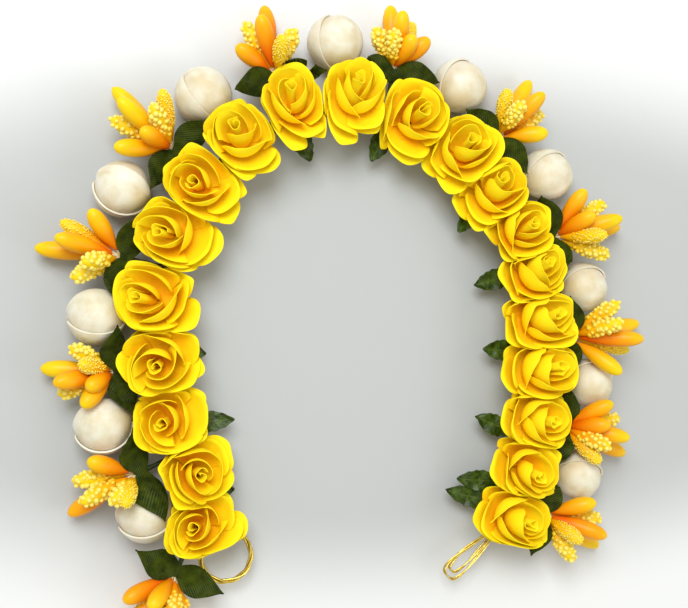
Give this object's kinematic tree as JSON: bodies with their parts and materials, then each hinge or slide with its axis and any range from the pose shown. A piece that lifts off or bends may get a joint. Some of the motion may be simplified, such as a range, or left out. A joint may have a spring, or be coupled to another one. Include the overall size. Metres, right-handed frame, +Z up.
{
  "type": "rose and jasmine-bud hair garland",
  "caption": "Bendable arched hair garland of paper roses, white jasmine buds, stamen pips and cloth leaves on a wire with looped ends.",
  "frame": {"origin": "middle of the footprint, on the surface that the garland lies on", "axes": "+Z up, the way the roses face; +Y from the open ends to the top of the arch; +X towards the arm that ends in the hairpin"},
  "size_m": [0.1764, 0.1794, 0.0202],
  "materials": {
    "gold_wire": "bright, loosely twisted strands",
    "green_tape": "crepe tape, wound and waxy",
    "rose_paper": "matte",
    "bud_pith": "satin, faintly ribbed pith sheet",
    "pip_yellow": "lacquered",
    "pip_bead": "pearly beads",
    "pip_thread": "starched thread",
    "leaf_cloth": "woven ribbon"
  },
  "bodies": {
    "root": {"gold_wire": "gold_wire", "taped_stem": "green_tape", "rose_01": "rose_paper", "rose_02": "rose_paper", "rose_03": "rose_paper", "rose_04": "rose_paper", "rose_05": "rose_paper", "rose_06": "rose_paper", "rose_07": "rose_paper", "rose_08": "rose_paper", "rose_09": "rose_paper", "rose_10": "rose_paper", "rose_11": "rose_paper", "rose_12": "rose_paper", "rose_13": "rose_paper", "rose_14": "rose_paper", "rose_15": "rose_paper", "rose_16": "rose_paper", "rose_17": "rose_paper", "rose_18": "rose_paper", "rose_19": "rose_paper", "rose_20": "rose_paper", "bud_01": "bud_pith", "bud_02": "bud_pith", "bud_03": "bud_pith", "bud_04": "bud_pith", "bud_05": "bud_pith", "bud_06": "bud_pith", "bud_07": "bud_pith", "bud_08": "bud_pith", "bud_09": "bud_pith", "bud_10": "bud_pith", "bud_11": "bud_pith", "cluster_01": "pip_yellow", "cluster_02": "pip_yellow", "cluster_03": "pip_yellow", "cluster_04": "pip_yellow", "cluster_05": "pip_yellow", "cluster_06": "pip_yellow", "cluster_07": "pip_yellow", "cluster_08": "pip_yellow", "cluster_09": "pip_yellow", "cluster_10": "pip_yellow", "cluster_11": "pip_yellow", "cluster_12": "pip_yellow", "leaf_pair_01": "leaf_cloth", "leaf_pair_02": "leaf_cloth", "leaf_pair_03": "leaf_cloth", "leaf_pair_04": "leaf_cloth", "leaf_pair_05": "leaf_cloth", "leaf_pair_06": "leaf_cloth", "leaf_pair_07": "leaf_cloth", "leaf_pair_08": "leaf_cloth", "leaf_pair_09": "leaf_cloth", "leaf_pair_10": "leaf_cloth", "leaf_pair_11": "leaf_cloth", "leaf_pair_12": "leaf_cloth"}
  },
  "joints": []
}
